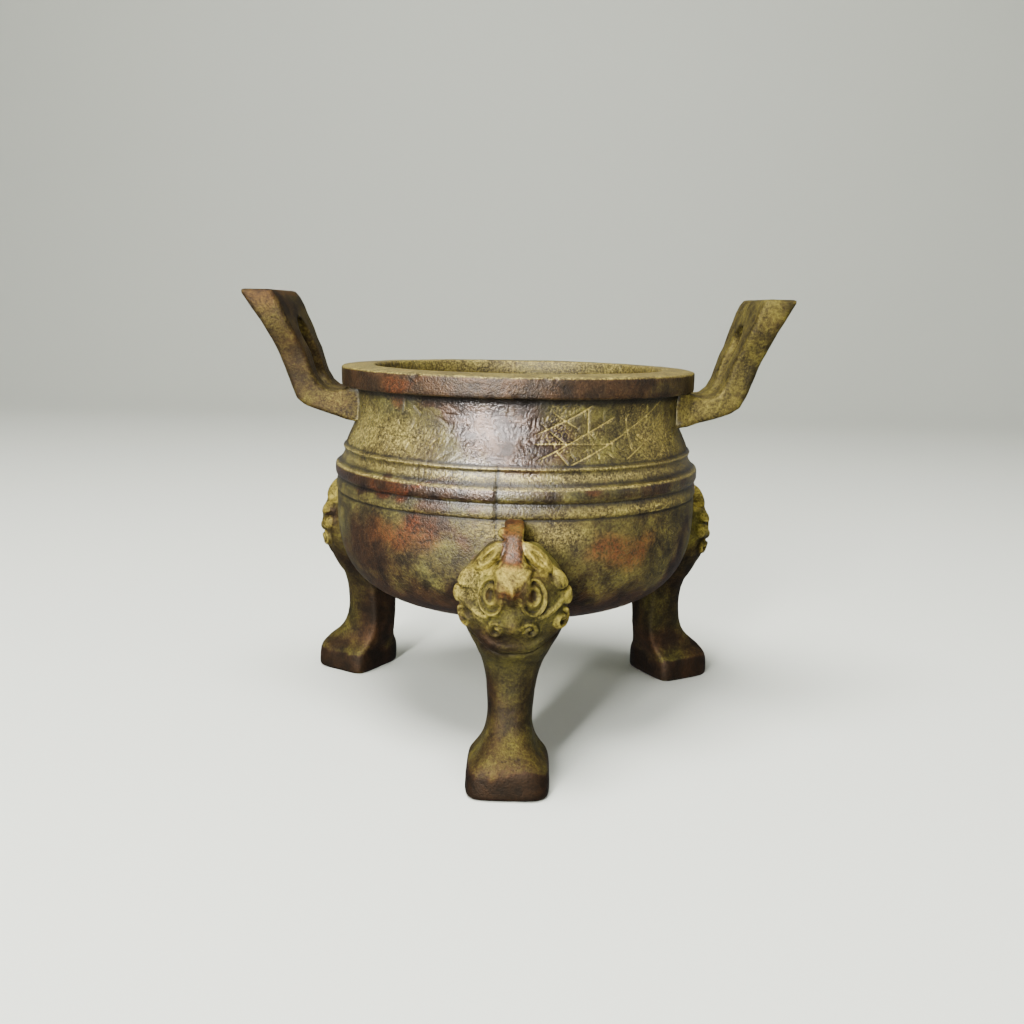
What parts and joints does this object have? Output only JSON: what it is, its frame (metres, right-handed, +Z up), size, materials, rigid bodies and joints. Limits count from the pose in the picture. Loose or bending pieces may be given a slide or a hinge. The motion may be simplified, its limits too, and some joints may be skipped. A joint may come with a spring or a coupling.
{
  "type": "ding tripod vessel",
  "caption": "Round bronze ding on animal-mask legs, with a flat lip, an engraved neck, ridged belly and upright slotted handles.",
  "frame": {"origin": "middle of the bounding box on the floor plane that the three feet stand on", "axes": "+Z up, the handles along X, one leg forward at -Y and the bowl's axis 13.25 mm behind the origin at +Y"},
  "size_m": [0.21, 0.1728, 0.1688],
  "materials": {
    "patinated_bronze": "cast bronze with olive green, brown and orange-red patina, waxed to a soft shine"
  },
  "bodies": {
    "root": {"ding_vessel": "patinated_bronze"}
  },
  "joints": []
}
